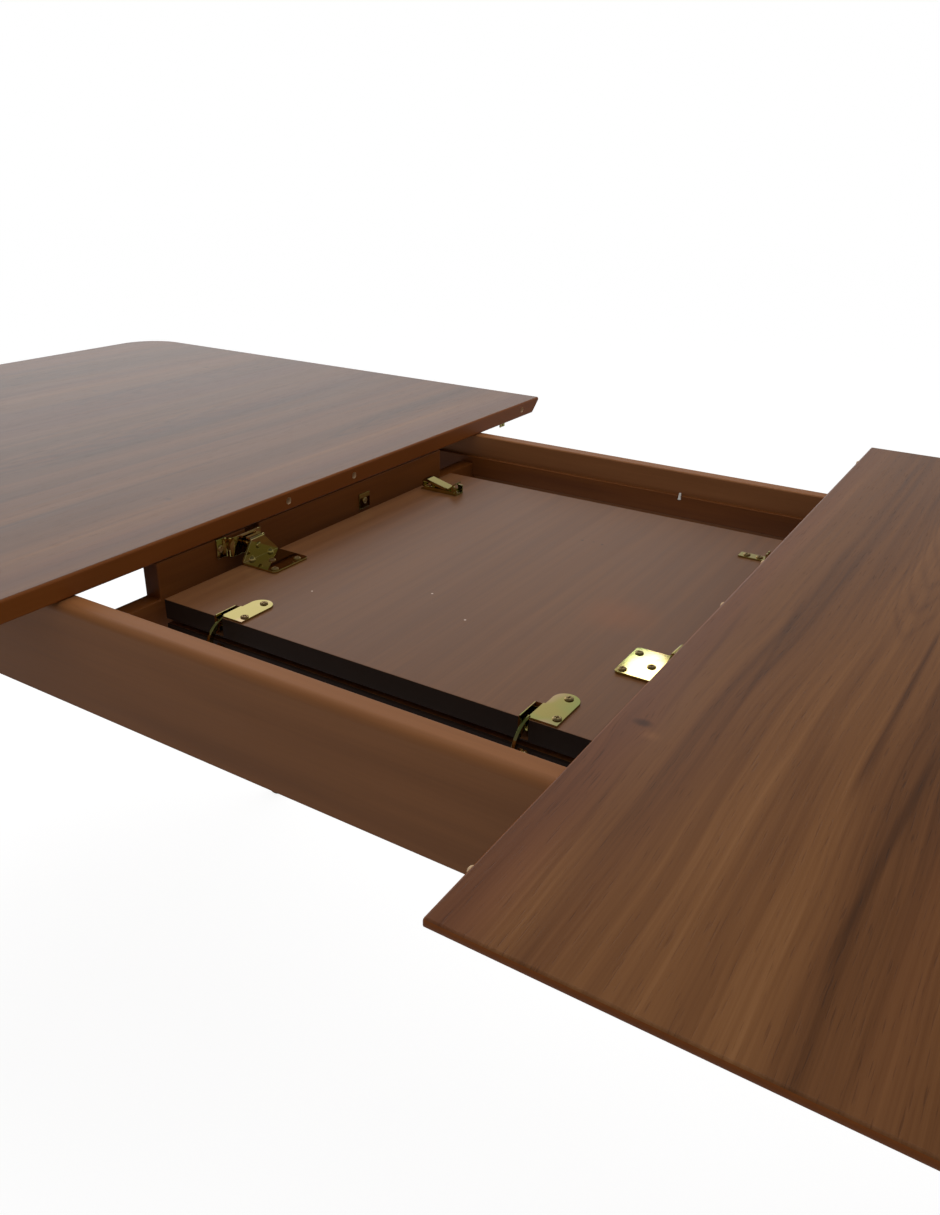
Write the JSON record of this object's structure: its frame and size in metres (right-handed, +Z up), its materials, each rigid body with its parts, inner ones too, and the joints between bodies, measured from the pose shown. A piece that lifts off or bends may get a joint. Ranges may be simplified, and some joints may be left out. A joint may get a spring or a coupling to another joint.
{
  "type": "extending dining table",
  "caption": "Extending dining table: two sliding top halves on a legged frame, with a folding leaf turned and stored between the aprons.",
  "frame": {"origin": "on the floor, under the centre of the table", "axes": "+X along the table, the way it extends; -Y the front; +Z up"},
  "size_m": [1.928, 0.9, 0.75],
  "materials": {
    "walnut_top": "satin lacquered walnut veneer, grain across the table",
    "walnut_frame": "satin lacquered solid walnut, grain along each piece",
    "walnut_inner": "stained hardwood",
    "beech": "bare beech dowels",
    "yellow_zinc": "yellow zinc-plated pressed steel",
    "steel": "zinc-plated steel",
    "black_plastic": "matt black nylon",
    "white_plastic": "white nylon"
  },
  "bodies": {
    "frame": {"apron_front": "walnut_frame", "apron_back": "walnut_frame", "apron_left": "walnut_frame", "apron_right": "walnut_frame", "leg_front_left": "walnut_frame", "leg_front_right": "walnut_frame", "leg_back_left": "walnut_frame", "leg_back_right": "walnut_frame", "leg_glides": "black_plastic", "corner_brackets": "steel", "leg_bolts": "steel", "leg_nuts": "steel", "cross_rail_left": "walnut_inner", "cross_rail_right": "walnut_inner", "track_front": "walnut_inner", "track_back": "walnut_inner", "track_pegs": "white_plastic", "pivot_support_left": "yellow_zinc", "pivot_support_right": "yellow_zinc", "pivot_pins": "yellow_zinc", "rail_plates": "yellow_zinc", "frame_screws": "steel", "apron_pads": "black_plastic"},
    "top_half_left": {"top_left": "walnut_top", "runner_left_front": "walnut_inner", "runner_left_back": "walnut_inner", "clips_left": "steel", "keepers_left": "yellow_zinc", "screws_left": "steel"},
    "top_half_right": {"top_right": "walnut_top", "runner_right_front": "walnut_inner", "runner_right_back": "walnut_inner", "clips_right": "steel", "latch_bases_right": "yellow_zinc", "dowels_right": "beech", "screws_right": "steel"},
    "catch_front": {"latch_bolt_front": "yellow_zinc"},
    "catch_back": {"latch_bolt_back": "yellow_zinc"},
    "upper_leaf": {"leaf_upper": "walnut_top", "pivot_bracket_left": "yellow_zinc", "pivot_bracket_right": "yellow_zinc", "hinges_upper": "yellow_zinc", "hinge_pins_upper": "yellow_zinc", "keeper_upper": "yellow_zinc", "latch_base_upper": "yellow_zinc", "dowels_upper": "beech", "screws_upper": "steel"},
    "catch_upper": {"latch_bolt_upper": "yellow_zinc"},
    "fold_links": {"fold_link_left": "yellow_zinc", "fold_link_right": "yellow_zinc"},
    "lower_leaf": {"leaf_lower": "walnut_top", "hinges_lower": "yellow_zinc", "hinge_pins_lower": "yellow_zinc", "keeper_lower": "yellow_zinc", "latch_base_lower": "yellow_zinc", "dowels_lower": "beech", "screws_lower": "steel"},
    "catch_lower": {"latch_bolt_lower": "yellow_zinc"}
  },
  "joints": [
    {"name": "left_half_slide", "type": "slide", "parent": "frame", "child": "top_half_left", "axis": [-1, 0, 0], "range_m": [-0.2138, 0.01]},
    {"name": "right_half_slide", "type": "slide", "parent": "frame", "child": "top_half_right", "axis": [1, 0, 0], "range_m": [-0.2138, 0.01]},
    {"name": "leaf_turn", "type": "hinge", "parent": "frame", "child": "upper_leaf", "pos_m": [0, -0.11063, 0.719], "axis": [1, 0, 0], "range_deg": [0, 180]},
    {"name": "fold_at_upper", "type": "hinge", "parent": "upper_leaf", "child": "fold_links", "pos_m": [0, -0.21225, 0.695], "axis": [-1, 0, 0], "range_deg": [0, 90]},
    {"name": "fold_at_lower", "type": "hinge", "parent": "fold_links", "child": "lower_leaf", "pos_m": [0, -0.21225, 0.677], "axis": [-1, 0, 0], "range_deg": [0, 90]},
    {"name": "catch_front_slide", "type": "slide", "parent": "top_half_right", "child": "catch_front", "axis": [-1, 0, 0], "range_m": [0, 0.0195]},
    {"name": "catch_back_slide", "type": "slide", "parent": "top_half_right", "child": "catch_back", "axis": [-1, 0, 0], "range_m": [0, 0.0195]},
    {"name": "catch_upper_slide", "type": "slide", "parent": "upper_leaf", "child": "catch_upper", "axis": [-1, 0, 0], "range_m": [0, 0.0195]},
    {"name": "catch_lower_slide", "type": "slide", "parent": "lower_leaf", "child": "catch_lower", "axis": [-1, 0, 0], "range_m": [0, 0.0195]}
  ]
}
